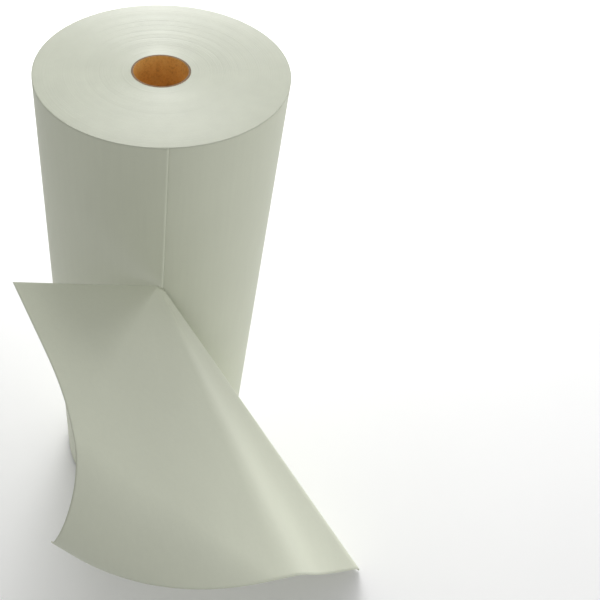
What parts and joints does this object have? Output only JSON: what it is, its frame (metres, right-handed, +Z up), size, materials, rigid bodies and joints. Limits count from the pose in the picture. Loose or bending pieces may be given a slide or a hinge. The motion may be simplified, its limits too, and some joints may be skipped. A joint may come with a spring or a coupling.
{
  "type": "perforated paper roll",
  "caption": "Upright roll of plain background paper on a cardboard core, its last sheet part torn along a perforation and folded forward, one corner curled down.",
  "frame": {"origin": "centre of the core bore at its lower end, in the plane the roll stands on", "axes": "+Z up along the core; -Y faces the perforation that joins the last sheet; +X to the right seen from there"},
  "size_m": [0.3913, 0.4974, 0.602],
  "materials": {
    "core_board": "uncoated spiral-wound kraft board",
    "start_tape": "matt double-sided tape",
    "roll_end": "cut edges of many turns, slight sheen",
    "wound_paper": "smooth uncoated paper",
    "free_paper": "smooth uncoated paper"
  },
  "bodies": {
    "roll": {"core_inner_ply": "core_board", "core_middle_ply": "core_board", "core_outer_ply": "core_board", "core_start_tape": "start_tape", "wound_turns_1": "roll_end", "wound_turns_2": "roll_end", "wound_turns_3": "roll_end", "wound_turns_4": "roll_end", "wound_sheet_2": "wound_paper", "wound_sheet_3": "wound_paper", "wound_sheet_4": "wound_paper"},
    "panel": {"free_sheet_panel": "free_paper"},
    "flap": {"free_sheet_flap": "free_paper"}
  },
  "joints": [
    {"name": "panel_swing", "type": "hinge", "parent": "roll", "child": "panel", "pos_m": [0.00352, -0.1185, 0.21825], "axis": [0, 0, 1], "range_deg": [-15, 10]},
    {"name": "flap_fold", "type": "hinge", "parent": "panel", "child": "flap", "pos_m": [0.10673, -0.15642, 0.26944], "axis": [-0.5161, 0.1896, 0.8353], "range_deg": [-25, 60]}
  ]
}
